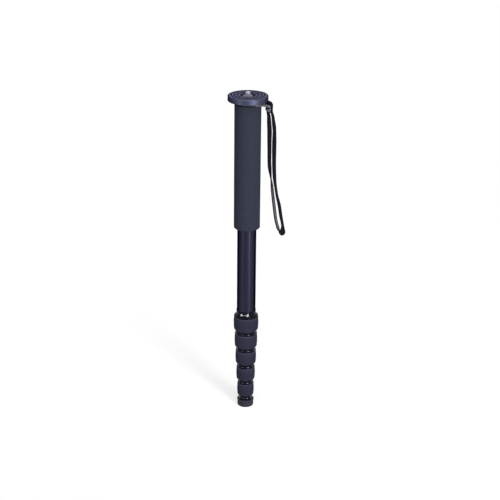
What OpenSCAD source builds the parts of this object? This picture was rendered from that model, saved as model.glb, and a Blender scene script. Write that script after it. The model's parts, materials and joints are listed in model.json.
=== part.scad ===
// Camera monopod, folded: six telescopic tubes with five twist locks, a foam grip, a camera
// platform with a reversible screw, a wrist strap hitched round the neck, and a rubber foot.
// Sizes are in millimetres. The origin is the middle of the foot's ground face, +Z runs up the
// tubes and the strap hangs on the +X side. Every section is pushed home and every lock is tight.

/* [Tubes] */
// Outside diameter of the first tube
tube_d = 25; // [24:0.5:30]
// Step in outside diameter from each tube to the next
tube_step = 3; // [2.8:0.1:3.4]
// Wall of every tube
tube_wall = 1; // [0.8:0.1:1.1]
// Length of the first tube
first_tube_len = 300; // [260:0.5:360]
// Room between the plug in the first tube and the tubes inside
top_room = 2; // [1:0.5:6]
// Length of the guide bushes at the top of the inner tubes
bush_len = 28; // [20:1:40]
// Distance from a tube's top edge down to its guide bush
bush_inset = 1; // [0.5:0.5:4]
// Diameter of the pegs that hold the guide bushes
peg_d = 3; // [2:0.5:4]
// Slot between the two shells of a guide bush
bush_slot = 2; // [1:0.5:4]

/* [Twist locks] */
// How much wider the first lock is than its tube
lock_over = 8.1; // [7.5:0.1:10]
// Growth of that step from each lock to the next
lock_over_step = 0.4; // [0.2:0.1:0.8]
// Height of the first lock's nut
nut_h = 20.6; // [20:0.1:28]
// Loss of nut height from each lock to the next
nut_h_step = 0.3; // [0:0.05:0.6]
// Height of the tapered lower end of each nut
taper_h = 2.8; // [2.4:0.1:5]
// How far a nut's lower lip is drawn in from the rubber
lip_in = 3; // [2.4:0.1:3.2]
// Height of a nut's bare lower lip
lip_h = 0.5; // [0.3:0.1:1]
// Rubber over each nut
rubber_t = 1.3; // [0.8:0.1:1.4]
// Swell of the rubber at half height
rubber_swell = 0.35; // [0:0.05:0.6]
// Rounding of the rubber's upper edge
rubber_edge = 0.7; // [0.3:0.1:1]
// Wall of the threaded part of each ferrule
ferrule_wall = 1.4; // [1:0.1:1.5]
// Height of the threaded part
thread_h = 8; // [6:0.5:9]
// Height of the conical seat in each nut
seat_h = 5.5; // [4:0.5:6]
// Wall of a collet at its thin end
collet_lip = 0.9; // [0.6:0.1:1.2]
// Width of the slots in a collet
collet_slot = 1; // [0.6:0.1:1.6]
// Slots in a collet
collet_slots = 6; // [4:1:8]
// Height of the ring on top of each ferrule: its shoulder and the collar above that
collar_h = 9.2; // [8.4:0.1:9.6]
// Height of the ring that shows between two folded locks
ring_show = 4.9; // [4.7:0.1:6]
// Upright rim under each shoulder
shoulder_rim = 0.5; // [0.4:0.1:1]
// Rise of a shoulder for each millimetre across it
shoulder_rise = 0.5; // [0.3:0.05:0.7]
// Height of the steep bevel half way up each shoulder
bevel_h = 1.1; // [0.6:0.1:1.3]
// Width of that bevel
bevel_w = 0.5; // [0.3:0.1:0.8]
// How far each shoulder's rim lies inside the rubber
shoulder_inset = 0.3; // [0.2:0.1:1]
// Wall of a collar over its tube
collar_wall = 0.6; // [0.4:0.1:1]

/* [Grip and neck] */
// Length of the foam grip
grip_len = 166; // [120:1:200]
// Foam over the first tube
grip_wall = 4.6; // [3:0.1:8]
// Rounding of the foam's ends
grip_edge = 1.5; // [0.5:0.5:2.5]
// Height of the neck between the first tube and the platform
neck_h = 4; // [4:0.5:12]
// How much wider the neck is than the first tube
neck_over = 2; // [0:0.5:5]
// Length of the plug inside the first tube
plug_len = 15; // [14:1:30]
// Diameter of the set screws that hold the plug
set_screw_d = 3; // [2:0.5:4]
// Length of those set screws
set_screw_len = 4.5; // [3:0.5:5]

/* [Platform] */
// Diameter of the platform
disc_d = 51.4; // [44:0.1:65]
// Thickness of the platform
disc_h = 7; // [5:0.5:12]
// Chamfer of the platform's edges
disc_edge = 0.6; // [0.2:0.1:1.5]
// Width of the metal rim round the pad
rim_w = 1.2; // [1:0.1:3]
// Depth of the pad's pocket
pad_t = 1.5; // [1:0.1:2.5]
// How far the pad's ribs stand above the rim
pad_proud = 0.3; // [0.1:0.1:0.8]
// Diameter of the hole in the pad
pad_hole_d = 18; // [15:0.5:24]
// Distance from the pad's hole to the middle of its first rib
rib_inset = 2.2; // [1.6:0.1:4]
// Distance from each rib of the pad to the next
rib_pitch = 4; // [3:0.5:6]
// Width of a rib at its top
rib_w = 1.2; // [0.8:0.1:2]
// Height of a rib
rib_h = 0.9; // [0.4:0.1:1]
// Diameter of the camera screw's upper end, a quarter inch
screw_d = 6.35; // [6.3:0.05:6.4]
// How far the camera screw stands above the platform
screw_show = 4.6; // [4:0.2:7]
// Chamfer of the camera screw's tip
screw_tip = 0.7; // [0.3:0.1:1]
// Diameter of the screw's lower end, three eighths of an inch
screw_base_d = 9.525; // [9.4:0.025:9.6]
// Length of the lower end below the platform
screw_base_len = 12; // [8:0.5:18]
// Diameter of the screw's flange
flange_d = 12.7; // [11:0.1:14]
// Thickness of the screw's flange
flange_t = 0.8; // [0.5:0.1:1]

/* [Foot] */
// How much wider the rubber foot is than the last tube
foot_over = 11.8; // [9:0.1:16]
// Height of the rubber foot
foot_h = 10.1; // [9:0.1:14]
// How much wider the ridge round the foot's top is than the foot
ridge_over = 1; // [0.4:0.1:3]
// Height of that ridge
ridge_h = 2.6; // [1.5:0.1:3]
// How far the ring above the foot is set in from the foot's side
foot_ring_inset = 0.9; // [0.4:0.1:2]
// Rounding of the foot's lower edge
foot_edge = 1.2; // [0.5:0.1:2]
// Grooves round the foot
foot_grooves = 3; // [1:1:3]
// Width of a groove
groove_w = 0.9; // [0.5:0.1:1.1]
// Depth of a groove
groove_t = 0.5; // [0.2:0.1:0.8]
// Rubber under the end of the last tube
foot_floor = 3; // [2:0.5:5]
// Thickness of the foot plug's head
plug_head_h = 1.5; // [1:0.5:3]
// Length of the foot plug inside the last tube
foot_plug_len = 14; // [8:1:25]

/* [Wrist strap] */
// Width of the woven cord
strap_w = 5.2; // [4:0.1:5.4]
// Thickness of the woven cord
strap_t = 2; // [1.2:0.1:2]
// Width of a leg where the knot gathers it
strap_gathered = 4.2; // [3:0.1:4.2]
// Width of the cord where it is rolled up round the neck
strap_rolled = 3.2; // [2:0.1:3.4]
// Distance from the axis to the knot
knot_x = 27.6; // [27:0.1:34]
// Height of the knot
knot_h = 9.5; // [6:0.5:10]

/* [Fits] */
// Gap between bonded or pressed pieces
bond_gap = 0.05; // [0.02:0.01:0.1]
// Radial play of what slides or turns
play = 0.1; // [0.05:0.01:0.1]
// Gap between a nut and the ferrule's ring above it
turn_gap = 0.3; // [0.2:0.05:0.5]
// Gap between a folded collar and the nut round it
nest_gap = 0.35; // [0.3:0.05:0.5]
// Radial gap between a nut's throat and the tube in it
throat_gap = 0.4; // [0.3:0.05:0.6]
// Gap at the ends of tubes, bushes and collets
end_gap = 0.2; // [0.1:0.05:0.3]

/* [Hidden] */
$fn = 96;
locks = 5;
sections = locks + 1;

aluminium = [0.13, 0.13, 0.17];
hard_plastic = [0.07, 0.07, 0.09];
soft_rubber = [0.18, 0.18, 0.22];
foam = [0.2, 0.2, 0.25];
bright_steel = [0.75, 0.75, 0.78];
pale_plastic = [0.8, 0.8, 0.78];
strap_black = [0.06, 0.06, 0.08];

// Radii of section k, counted from the top
function tube_r(k) = (tube_d - (k - 1) * tube_step) / 2;
function bore_r(k) = tube_r(k) - tube_wall;
function rubber_r(k) = tube_r(k) + (lock_over + (k - 1) * lock_over_step) / 2;
function nut_r(k) = rubber_r(k) - rubber_t;
function thread_r(k) = tube_r(k) + ferrule_wall;
function collet_r(k) = tube_r(k + 1) + collet_lip;
function throat_r(k) = tube_r(k + 1) + throat_gap;

// Heights of lock k: its ring sits on the nut, and the foot is the ring below the last lock
function nut_height(k) = nut_h - (k - 1) * nut_h_step;
function ring_z(k) = k > locks ? foot_h : nut_z(k) + nut_height(k);
function nut_z(k) = ring_z(k + 1) + ring_show;

// Ring k: an upright rim, a sloping shoulder with a bevel half way up, and a collar round its tube
foot_r = tube_r(sections) + foot_over / 2;
function shoulder_r(k) = k > locks ? foot_r - foot_ring_inset : rubber_r(k) - shoulder_inset;
function collar_r(k) = tube_r(k) + collar_wall;
function bevel_r(k) = (shoulder_r(k) + collar_r(k) + bevel_w) / 2;
function bevel_low(k) = shoulder_rim + shoulder_rise * (shoulder_r(k) - bevel_r(k));
function bevel_top(k) = bevel_low(k) + bevel_h;
function shoulder_top(k) = bevel_top(k) + shoulder_rise * (bevel_r(k) - bevel_w - collar_r(k));

// The lower lip of nut k goes round the collar of the ring below it
function mouth_r(k) = collar_r(k + 1) + nest_gap;
function lip_r(k) = rubber_r(k) - lip_in;
function nut_side_r(k, h) = lip_r(k) + (nut_r(k) - lip_r(k)) * (h - lip_h) / (taper_h - lip_h);
nest_h = collar_h - ring_show + nest_gap;

// Ends of the tubes: each inner tube's bush stops on the collet when its section is drawn out
function tube_low(k) = k > locks ? foot_floor + plug_head_h : ring_z(k) - thread_h + end_gap;
neck_z = tube_low(1) + first_tube_len;
disc_z = neck_z + neck_h;
top_z = disc_z + disc_h;
bush_low = neck_z - plug_len - top_room - bush_inset - bush_len;
travel = bush_low - tube_low(1) - end_gap;
function tube_high(k) = k == 1 ? neck_z : tube_low(k - 1) + end_gap + travel + bush_len + bush_inset;

neck_r = (tube_d + neck_over) / 2;
pocket_r = disc_d / 2 - rim_w;
pocket_z = top_z - pad_t;
screw_hole_r = screw_base_d / 2 + play;

// Points of an arc about a centre, from one angle to another
function arc(centre, r, from, to, steps = 6) =
  [for (i = [0:steps]) let (a = from + (to - from) * i / steps) centre + r * [cos(a), sin(a)]];

module turned(points) {
  rotate_extrude() polygon(points);
}

module ring(r_out, r_in, z_low, z_high) {
  translate([0, 0, z_low]) difference() {
    cylinder(r = r_out, h = z_high - z_low);
    translate([0, 0, -1]) cylinder(r = r_in, h = z_high - z_low + 2);
  }
}

// A radial pin or hole, from one distance from the axis to another
module radial(angle, z, d, from, to) {
  rotate(angle) translate([from, 0, z]) rotate([0, 90, 0]) cylinder(d = d, h = to - from);
}

// Telescopic tubes
screw_z = neck_z - plug_len / 2;
function bush_top(k) = tube_high(k) - bush_inset;
function peg_z(k) = bush_top(k) - bush_len / 2;
bush_angles = [0, 180];
set_screw_angles = [60, 180, 300];

module tube(k) {
  color(aluminium) difference() {
    ring(tube_r(k), bore_r(k), tube_low(k), tube_high(k));
    if (k == 1) {
      for (a = set_screw_angles) radial(a, screw_z, set_screw_d + 2 * bond_gap, bore_r(k) / 2, tube_r(k) + 1);
    } else {
      for (a = bush_angles) radial(a, peg_z(k), peg_d + 2 * bond_gap, bore_r(k) / 2, tube_r(k) + 1);
    }
  }
}

// Two thin half shells round the top of tube k, each with a peg in the tube's wall
module guide_bush(k) {
  shell_in = tube_r(k) + bond_gap;
  shell_out = bore_r(k - 1) - play;
  color(pale_plastic) {
    difference() {
      ring(shell_out, shell_in, bush_top(k) - bush_len, bush_top(k));
      translate([-bush_slot / 2, -shell_out - 1, bush_top(k) - bush_len - 1])
        cube([bush_slot, 2 * shell_out + 2, bush_len + 2]);
    }
    intersection() {
      for (a = bush_angles) radial(a, peg_z(k), peg_d, bore_r(k) + bond_gap, shell_out);
      translate([0, 0, peg_z(k) - peg_d]) cylinder(r = (shell_in + shell_out) / 2, h = 2 * peg_d);
    }
  }
}

// Twist lock: the ferrule is bonded on the tube's lower end, and its upper part is the ring that shows
module lock_ferrule(k) {
  z = ring_z(k);
  bond_r = tube_r(k) + bond_gap;
  color(hard_plastic) turned([
    [bond_r, tube_low(k)],
    [thread_r(k), tube_low(k)],
    [thread_r(k), z + turn_gap],
    [shoulder_r(k), z + turn_gap],
    [shoulder_r(k), z + shoulder_rim],
    [bevel_r(k), z + bevel_low(k)],
    [bevel_r(k) - bevel_w, z + bevel_top(k)],
    [collar_r(k), z + shoulder_top(k)],
    [collar_r(k), z + collar_h],
    [bond_r, z + collar_h]
  ]);
}

// The collet is split once right through, and its other slots stop short of the thick end
module lock_collet(k) {
  z = ring_z(k) - thread_h - seat_h;
  in_r = tube_r(k + 1) + play;
  slope = (thread_r(k) - collet_r(k)) / seat_h;
  color(pale_plastic) difference() {
    turned([
      [in_r, z + end_gap],
      [collet_r(k) + slope * end_gap, z + end_gap],
      [thread_r(k), z + seat_h],
      [in_r, z + seat_h]
    ]);
    for (i = [0:collet_slots - 1]) rotate(i * 360 / collet_slots)
      translate([0, -collet_slot / 2, z - 1])
        cube([thread_r(k) + 1, collet_slot, i == 0 ? seat_h + 2 : seat_h * 0.7 + 1]);
  }
}

// The nut runs on the ferrule's thread, and its conical seat squeezes the collet
module lock_nut(k) {
  z = nut_z(k);
  top = ring_z(k);
  seat = top - thread_h;
  color(hard_plastic) turned([
    [mouth_r(k), z],
    [lip_r(k), z],
    [lip_r(k), z + lip_h],
    [nut_r(k), z + taper_h],
    [nut_r(k), top],
    [thread_r(k) + play, top],
    [thread_r(k) + play, seat],
    [collet_r(k) + play, seat - seat_h],
    [throat_r(k), seat - seat_h],
    [throat_r(k), z + nest_h],
    [mouth_r(k), z + nest_h]
  ]);
}

// Rubber sleeve on the nut, swelled at half height and drawn in to the nut's lip
module lock_sleeve(k) {
  in_r = nut_r(k) + bond_gap;
  out_r = rubber_r(k) - rubber_swell;
  edge = min(rubber_edge, out_r - in_r - 0.1);
  toe = [nut_side_r(k, lip_h + end_gap) + bond_gap, nut_z(k) + lip_h + end_gap];
  bend = nut_z(k) + taper_h;
  top = ring_z(k);
  band = top - edge - bend;
  draw_in = [out_r, bend] - toe;
  steps = 8;
  color(soft_rubber) turned(concat(
    [for (i = [0:steps]) toe + [draw_in.x * sin(90 * i / steps), draw_in.y * (1 - cos(90 * i / steps))]],
    [for (i = [1:steps - 1]) [out_r + rubber_swell * sin(180 * i / steps), bend + band * i / steps]],
    arc([out_r - edge, top - edge], edge, 0, 90),
    [[in_r, top], [in_r, bend]]
  ));
}

// Foam grip on the upper part of the first tube
module foam_grip() {
  in_r = tube_r(1) + bond_gap;
  out_r = tube_r(1) + grip_wall;
  e = grip_edge;
  low = neck_z - grip_len;
  color(foam) turned(concat(
    [[in_r, low]],
    arc([out_r - e, low + e], e, -90, 0),
    arc([out_r - e, neck_z - e], e, 0, 90),
    [[in_r, neck_z]]
  ));
}

// Neck and plug: the neck stands on the tube's end, and the plug goes down inside it
module top_plug() {
  color(aluminium) difference() {
    union() {
      translate([0, 0, neck_z]) cylinder(r = neck_r, h = neck_h);
      translate([0, 0, neck_z - plug_len]) cylinder(r = bore_r(1) - bond_gap, h = plug_len + 1);
    }
    translate([0, 0, disc_z - screw_base_len - end_gap]) cylinder(r = screw_hole_r, h = screw_base_len + 1);
    for (a = set_screw_angles)
      radial(a, screw_z, set_screw_d + 2 * bond_gap, tube_r(1) - set_screw_len - end_gap, tube_r(1) + 1);
  }
}

module plug_screws() {
  color(bright_steel) for (a = set_screw_angles)
    radial(a, screw_z, set_screw_d, tube_r(1) - set_screw_len, tube_r(1) - bond_gap);
}

// Camera platform with a pocket for the pad
module platform_disc() {
  e = disc_edge;
  r = disc_d / 2;
  color(aluminium) turned([
    [screw_hole_r, disc_z],
    [r - e, disc_z],
    [r, disc_z + e],
    [r, top_z - e],
    [r - e, top_z],
    [pocket_r, top_z],
    [pocket_r, pocket_z],
    [screw_hole_r, pocket_z]
  ]);
}

// Rubber pad with concentric ribs
rib_first = pad_hole_d / 2 + rib_inset;
rib_last = pocket_r - play - rib_w * 0.75;
rib_radii = [for (r = [rib_first:rib_pitch:rib_last]) r];
rib_top_z = top_z + pad_proud;

module platform_pad() {
  base_z = rib_top_z - rib_h;
  color(soft_rubber) turned(concat(
    [[pad_hole_d / 2, pocket_z], [pad_hole_d / 2, base_z]],
    [for (r = rib_radii) each [
      [r - rib_w * 0.75, base_z],
      [r - rib_w / 2, rib_top_z],
      [r + rib_w / 2, rib_top_z],
      [r + rib_w * 0.75, base_z]
    ]],
    [[pocket_r - play, base_z], [pocket_r - play, pocket_z]]
  ));
}

// Reversible camera screw: its flange lies on the pocket's floor, inside the pad
module camera_screw() {
  tip_z = top_z + screw_show;
  color(bright_steel) turned([
    [0, disc_z - screw_base_len],
    [screw_base_d / 2, disc_z - screw_base_len],
    [screw_base_d / 2, pocket_z],
    [flange_d / 2, pocket_z],
    [flange_d / 2, pocket_z + flange_t],
    [screw_d / 2, pocket_z + flange_t],
    [screw_d / 2, tip_z - screw_tip],
    [screw_d / 2 - screw_tip, tip_z],
    [0, tip_z]
  ]);
}

// Rubber foot: grooved side and a ridge, with a blind bore for the last tube
groove_first = foot_edge + groove_w;
groove_room = foot_h - ridge_h - groove_first;
function groove_z(i) = groove_first + groove_room * (i + 0.5) / foot_grooves;

module rubber_foot() {
  r = foot_r;
  ridge_r = r + ridge_over / 2;
  ridge_low = foot_h - ridge_h;
  bore = tube_r(sections) + bond_gap;
  color(soft_rubber) turned(concat(
    [[0, 0]],
    arc([r - foot_edge, foot_edge], foot_edge, -90, 0),
    [for (i = [0:foot_grooves - 1]) each [
      [r, groove_z(i) - groove_w / 2],
      [r - groove_t, groove_z(i)],
      [r, groove_z(i) + groove_w / 2]
    ]],
    [[r, ridge_low], [ridge_r, ridge_low + ridge_h / 3]],
    arc([ridge_r - ridge_h / 3, foot_h - ridge_h / 3], ridge_h / 3, 0, 90),
    [[bore, foot_h], [bore, foot_floor], [0, foot_floor]]
  ));
}

// Ring on the last tube, above the foot
module foot_ring() {
  bond_r = tube_r(sections) + bond_gap;
  z = foot_h + bond_gap;
  color(hard_plastic) turned([
    [bond_r, z],
    [shoulder_r(sections), z],
    [shoulder_r(sections), foot_h + shoulder_rim],
    [bevel_r(sections), foot_h + bevel_low(sections)],
    [bevel_r(sections) - bevel_w, foot_h + bevel_top(sections)],
    [collar_r(sections), foot_h + shoulder_top(sections)],
    [collar_r(sections), foot_h + collar_h],
    [bond_r, foot_h + collar_h]
  ]);
}

module foot_plug() {
  color(hard_plastic) {
    translate([0, 0, foot_floor]) cylinder(r = tube_r(sections), h = plug_head_h);
    translate([0, 0, foot_floor]) cylinder(r = bore_r(sections) - bond_gap, h = plug_head_h + foot_plug_len);
  }
}

// Wrist strap: the woven cord goes round the neck, through its knot and down in a loop
hitch_in = neck_r + turn_gap;
hitch_z = neck_z + (neck_h - strap_rolled) / 2;

module strap_hitch() {
  meet_r = bond_gap + play;
  color(strap_black) translate([0, 0, hitch_z]) linear_extrude(strap_rolled) difference() {
    hull() {
      circle(r = hitch_in + strap_t, $fn = 48);
      translate([knot_x, 0]) circle(r = meet_r + strap_t, $fn = 24);
    }
    hull() {
      circle(r = hitch_in, $fn = 48);
      translate([knot_x, 0]) circle(r = meet_r, $fn = 24);
    }
  }
}

// The knot is a thick turn of cord round the two gathered legs
leg_y = strap_t / 2 + play;
knot_room = norm([0.8 * strap_gathered / 2, leg_y + strap_t / 2]) + play;
knot_wall = strap_t * 0.7;
knot_top = hitch_z - 1.6;

module strap_knot() {
  mid = knot_room + knot_wall / 2;
  color(strap_black) translate([knot_x, 0, knot_top - knot_h]) turned(concat(
    [[knot_room, 0]],
    arc([mid, knot_wall / 2], knot_wall / 2, -90, 0),
    arc([mid, knot_h / 2 - knot_wall / 2], knot_wall / 2, 0, 60, 3),
    arc([mid, knot_h / 2 + knot_wall / 2], knot_wall / 2, -60, 0, 3),
    arc([mid, knot_h - knot_wall / 2], knot_wall / 2, 0, 90),
    [[knot_room, knot_h]]
  ));
}

// Route of the loop from the knot: x, y, height from a level under the platform, turn of the cord
// about Z, and width
strap_level = disc_z - 5.6;
leg_top = hitch_z - play - strap_level;
strap_route = [
  [0, leg_y, leg_top, 0, strap_gathered],
  [0, leg_y, -10.2, 0, strap_gathered],
  [-1, leg_y, -14.4, 0, strap_w],
  [-0.6, 0.6, -21.4, 0, strap_w],
  [0.1, 0, -34.4, 0, strap_w],
  [0.3, 0, -47.4, 0, strap_w],
  [0.4, 0, -60.4, 0, strap_w],
  [0.5, 0.4, -73.4, 0, strap_w],
  [1.3, 1.4, -83.4, -30, strap_w],
  [2.8, 2.4, -94.4, -75, strap_w],
  [3.9, 2.2, -101.4, -105, strap_w],
  [4.6, 2, -107.9, -120, strap_w],
  [6, 2, -121.4, -120, strap_w],
  [7.7, 2, -135.4, -120, strap_w],
  [9.5, 2, -149.4, -120, strap_w],
  [10.8, 2, -156.4, -120, strap_w],
  [12.6, 2, -163.4, -120, strap_w],
  [14.8, 1.6, -169.9, -120, strap_w],
  [16, 1.1, -172.9, -120, strap_w],
  [17.8, 0, -174.5, -120, strap_w],
  [19.6, -1, -173.1, -120, strap_w],
  [20, -1.5, -169.4, -120, strap_w],
  [19.2, -2, -162.4, -120, strap_w],
  [17.8, -2, -154.9, -120, strap_w],
  [16.5, -2, -147.9, -120, strap_w],
  [14.4, -2, -133.9, -120, strap_w],
  [12.7, -2, -126.9, -120, strap_w],
  [11, -2, -120.4, -120, strap_w],
  [8.6, -2, -106.4, -120, strap_w],
  [7.8, -1.8, -99.9, -135, strap_w],
  [7.2, -1.4, -93.4, -150, strap_w],
  [6.6, -0.6, -82.4, -170, strap_w],
  [6.3, 0, -73.4, -180, strap_w],
  [6.2, 0, -60.4, -180, strap_w],
  [6.3, 0, -47.4, -180, strap_w],
  [6.4, 0, -34.4, -180, strap_w],
  [5.7, 0, -27.4, -180, strap_w],
  [4.8, -0.6, -21.4, -180, strap_w],
  [3.2, -leg_y, -14.4, -180, strap_w],
  [0, -leg_y, -10.2, -180, strap_gathered],
  [0, -leg_y, leg_top, -180, strap_gathered]
];

function unit(v) = v / norm(v);
function place(i) = [for (j = [0:2]) strap_route[i][j]];
function run(i) = unit(place(min(i + 1, len(strap_route) - 1)) - place(max(i - 1, 0)));
function across(i) =
  let (a = strap_route[i][3], w = [cos(a), sin(a), 0]) unit(w - (w * run(i)) * run(i));

// Eight corners of the flat cord at point i, across its width and through its thickness
function section(i) =
  let (w = strap_route[i][4] / 2, t = strap_t / 2, u = across(i), v = cross(run(i), u))
    [for (c = [[1, -0.4], [1, 0.4], [0.8, 1], [-0.8, 1], [-1, 0.4], [-1, -0.4], [-0.8, -1], [0.8, -1]])
      place(i) + u * c.x * w + v * c.y * t];

module wrist_strap() {
  n = len(strap_route);
  corners = [for (i = [0:n - 1]) each section(i)];
  sides = [for (i = [0:n - 2]) for (j = [0:7]) let (a = i * 8 + j, b = i * 8 + (j + 1) % 8) each
    [[a, a + 8, b], [b, a + 8, b + 8]]];
  first_end = [for (j = [1:6]) [0, j, j + 1]];
  last_end = [for (j = [1:6]) [(n - 1) * 8, (n - 1) * 8 + j + 1, (n - 1) * 8 + j]];
  color(strap_black) translate([knot_x, 0, strap_level])
    polyhedron(corners, concat(sides, first_end, last_end));
}

platform_disc();
platform_pad();
camera_screw();
top_plug();
plug_screws();
foam_grip();
strap_hitch();
strap_knot();
wrist_strap();
foot_plug();
foot_ring();
rubber_foot();
for (k = [1:sections]) tube(k);
for (k = [2:sections]) guide_bush(k);
for (k = [1:locks]) lock_ferrule(k);
for (k = [1:locks]) lock_collet(k);
for (k = [1:locks]) lock_nut(k);
for (k = [1:locks]) lock_sleeve(k);
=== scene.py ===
# %% [markdown]
# # A camera monopod, folded
# This lesson dresses a finished CAD model. The tubes, locks, platform and foot already have their
# true shapes, so they only need finishes. What CAD leaves plain is modelled here: the woven wrist
# strap with its hitch, the foam grip, the ribs of the lock sleeves, the thread of the camera screw
# and the printed lock signs.

import json
import math

import bmesh
import bpy
from mathutils import Matrix, Vector
from mathutils.bvhtree import BVHTree

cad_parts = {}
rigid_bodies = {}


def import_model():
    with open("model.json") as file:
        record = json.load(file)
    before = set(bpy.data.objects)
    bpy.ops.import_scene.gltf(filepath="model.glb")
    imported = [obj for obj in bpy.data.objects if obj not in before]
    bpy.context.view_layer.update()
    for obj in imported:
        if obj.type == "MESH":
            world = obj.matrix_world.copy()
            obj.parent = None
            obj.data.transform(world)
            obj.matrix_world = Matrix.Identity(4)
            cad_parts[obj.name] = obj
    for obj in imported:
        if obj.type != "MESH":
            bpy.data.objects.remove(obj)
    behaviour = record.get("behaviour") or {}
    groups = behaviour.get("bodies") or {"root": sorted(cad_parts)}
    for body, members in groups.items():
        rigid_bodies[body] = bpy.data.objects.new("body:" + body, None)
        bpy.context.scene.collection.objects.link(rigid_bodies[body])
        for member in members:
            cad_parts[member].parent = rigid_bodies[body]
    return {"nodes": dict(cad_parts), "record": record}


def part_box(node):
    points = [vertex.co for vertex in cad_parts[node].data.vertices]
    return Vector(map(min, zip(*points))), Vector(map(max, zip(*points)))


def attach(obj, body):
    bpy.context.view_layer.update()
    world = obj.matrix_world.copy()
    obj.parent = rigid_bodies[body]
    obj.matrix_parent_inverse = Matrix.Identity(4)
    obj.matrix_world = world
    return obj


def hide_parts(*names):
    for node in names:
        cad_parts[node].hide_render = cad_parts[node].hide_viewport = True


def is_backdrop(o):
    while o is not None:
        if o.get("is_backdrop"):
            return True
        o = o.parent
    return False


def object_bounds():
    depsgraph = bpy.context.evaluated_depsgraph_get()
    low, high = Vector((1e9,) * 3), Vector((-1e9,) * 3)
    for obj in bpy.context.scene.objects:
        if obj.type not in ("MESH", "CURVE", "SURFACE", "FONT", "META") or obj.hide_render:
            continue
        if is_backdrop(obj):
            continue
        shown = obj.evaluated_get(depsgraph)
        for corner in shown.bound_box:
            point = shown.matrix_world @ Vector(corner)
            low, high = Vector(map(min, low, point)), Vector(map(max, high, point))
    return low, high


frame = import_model()
cad_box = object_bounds()
scene = bpy.context.scene
MM = 0.001

# %% [markdown]
# ## The camera
# A catalogue picture is taken from a little above, with a long lens, so that the tubes stay nearly
# parallel. The focal length is first known in pixels of a square picture, and is turned into
# millimetres on a 36 mm sensor. A constraint could aim the camera, but a matrix that tilts it down
# also gives it a roll of half a degree.

# %% Camera
PICTURE_PX = 500
FOCAL_PX = 1256
SENSOR_MM = 36
CAMERA_PLACE = Vector((4.4, -1529, 846.6)) * MM
LOOK_DOWN = math.radians(22)
ROLL = math.radians(0.56)

camera_data = bpy.data.cameras.new("camera")
camera_data.sensor_width = SENSOR_MM
camera_data.lens = FOCAL_PX * SENSOR_MM / PICTURE_PX
camera = bpy.data.objects.new("camera", camera_data)
scene.collection.objects.link(camera)
tilt = Matrix.Rotation(math.pi / 2 - LOOK_DOWN, 4, "X")
camera.matrix_world = Matrix.Translation(CAMERA_PLACE) @ tilt @ Matrix.Rotation(ROLL, 4, "Z")
scene.camera = camera
print("lens", round(camera_data.lens, 1), "mm")

# %% [markdown]
# ## From a bmesh to a piece
# Every new piece ends the same way: doubles merged, normals turned outwards, smooth shading, and a
# mesh whose object stays at the origin. Each cell could repeat this, but one helper keeps it in one
# place, so that the cells below show only shapes.

# %% Helper: finish a piece
MERGE = 0.002 * MM


def make_piece(bm, name, smooth_angle=35):
    """Clean a bmesh and make it an object; edges that turn by more than the angle stay sharp."""
    bmesh.ops.remove_doubles(bm, verts=bm.verts, dist=MERGE)
    bmesh.ops.recalc_face_normals(bm, faces=bm.faces)
    mesh = bpy.data.meshes.new(name)
    bm.to_mesh(mesh)
    bm.free()
    mesh.shade_smooth()
    mesh.set_sharp_from_angle(angle=math.radians(smooth_angle))
    piece = bpy.data.objects.new(name, mesh)
    scene.collection.objects.link(piece)
    print(name, len(mesh.vertices), "vertices")
    return piece


# %% [markdown]
# ## The wrist strap
# The strap is one closed loop of flat woven cord. Its two legs hang from a knot beside the grip,
# and above the knot the cord arches over, goes round the neck under the platform, comes back to the
# front and wraps round the leg. A ribbon like this could be a curve with a bevel, but then the
# twist would be hard to control. So a face is extruded along the route, step by step, and each ring
# is turned so that the cord's width follows a direction given in the route.

# %% The strap's route
STRAP_T = 2.0
HITCH_DROP = 5.6
KNOT_X = 27.6
DOWN = (0, 0, -1)
disc_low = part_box("platform_disc")[0].z / MM

# the start inside the knot: x, y, depth below the platform, width direction, width
START_POINTS = [
    (26.2, 0.9, -7.6, (1, 0, 0), 4.0),
    (25.2, 0.9, -12.4, (1, 0, 0), 4.0),
    (25.6, 0.9, -16.2, (1, 0, 0), 4.0),
]
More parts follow.
